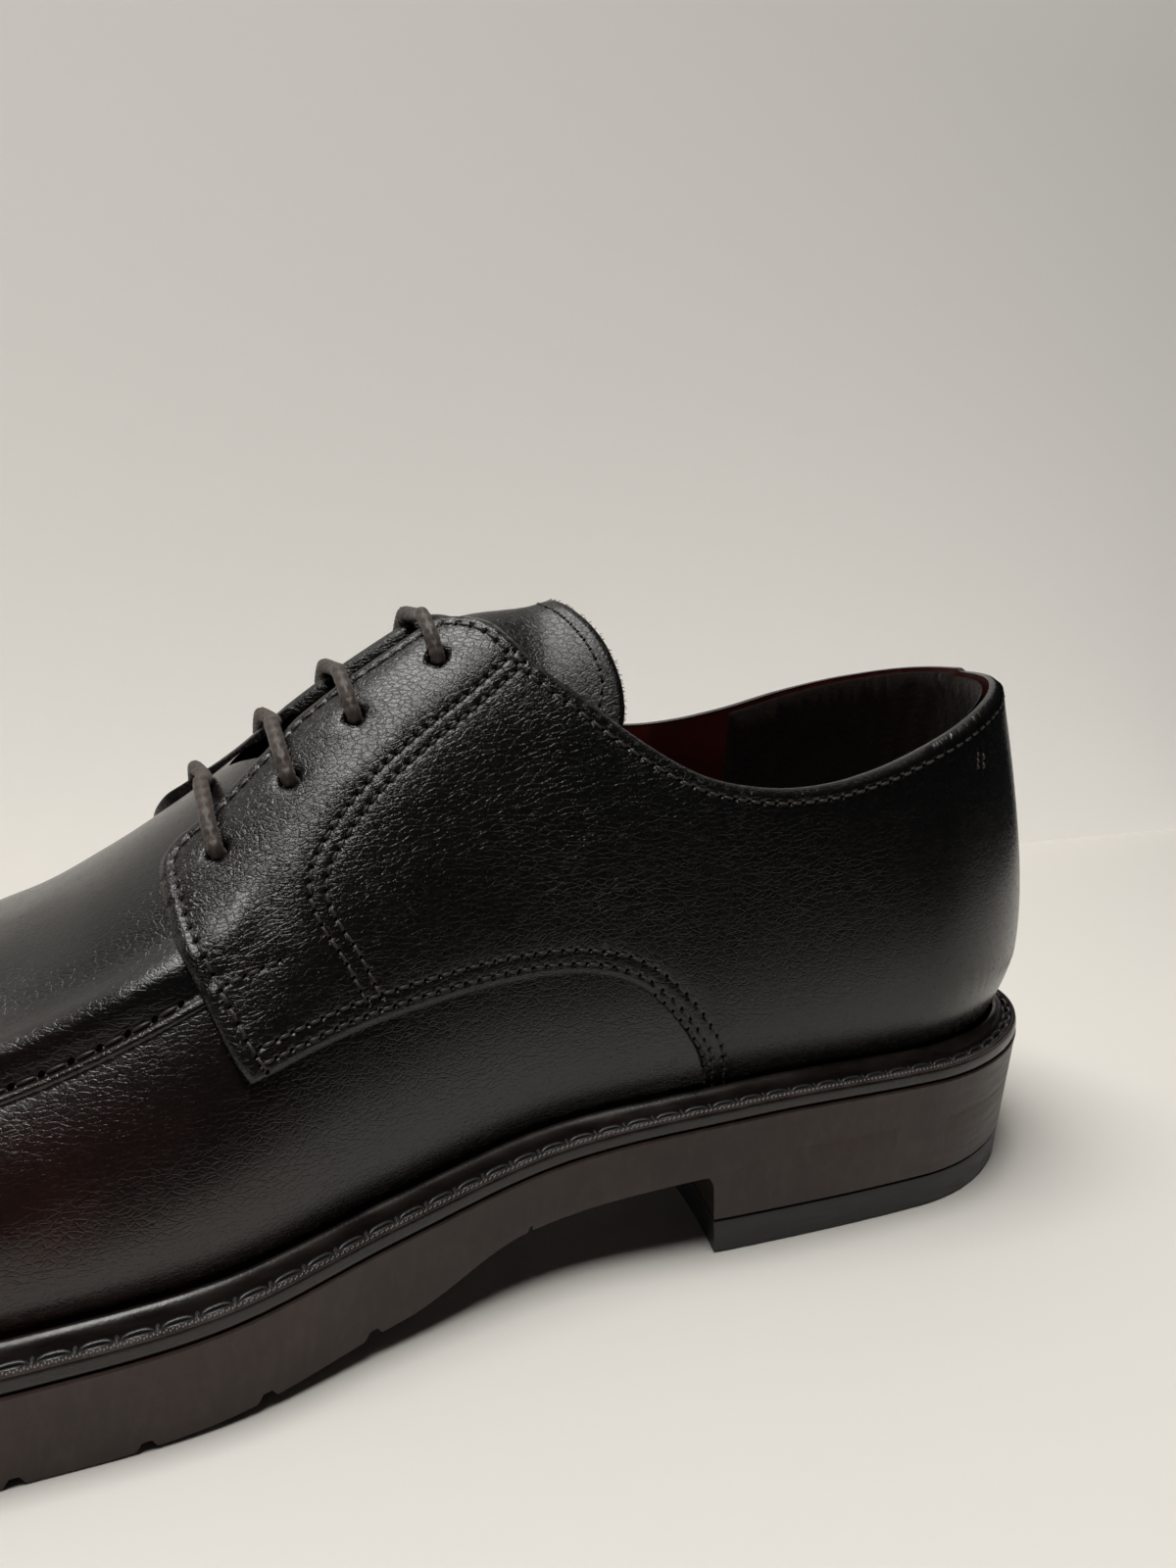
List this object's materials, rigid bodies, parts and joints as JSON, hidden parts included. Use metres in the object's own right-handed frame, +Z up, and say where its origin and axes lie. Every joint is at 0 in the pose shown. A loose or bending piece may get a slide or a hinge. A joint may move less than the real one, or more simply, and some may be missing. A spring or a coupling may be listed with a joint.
{
  "type": "derby shoe",
  "caption": "Lace-up derby shoe for the left foot, with a raised apron seam at the toe, a storm welt and a lugged sole with a low block heel.",
  "frame": {"origin": "on the floor, under the middle of the shoe's box in plan", "axes": "+X towards the toe, +Y towards the outer side of the left foot, +Z up"},
  "size_m": [0.302, 0.111, 0.1105],
  "materials": {
    "upper_leather": "satin polished",
    "tongue_leather": "satin",
    "lining": "matt",
    "welt": "satin",
    "sole_unit": "satin",
    "top_lift": "matt",
    "lace": "waxed"
  },
  "bodies": {
    "root": {"outsole": "sole_unit", "top_lift": "top_lift", "welt": "welt", "insole": "lining", "upper": "upper_leather", "tongue": "tongue_leather", "lace_bar_1": "lace", "lace_bar_2": "lace", "lace_bar_3": "lace", "lace_bar_4": "lace"}
  },
  "joints": []
}
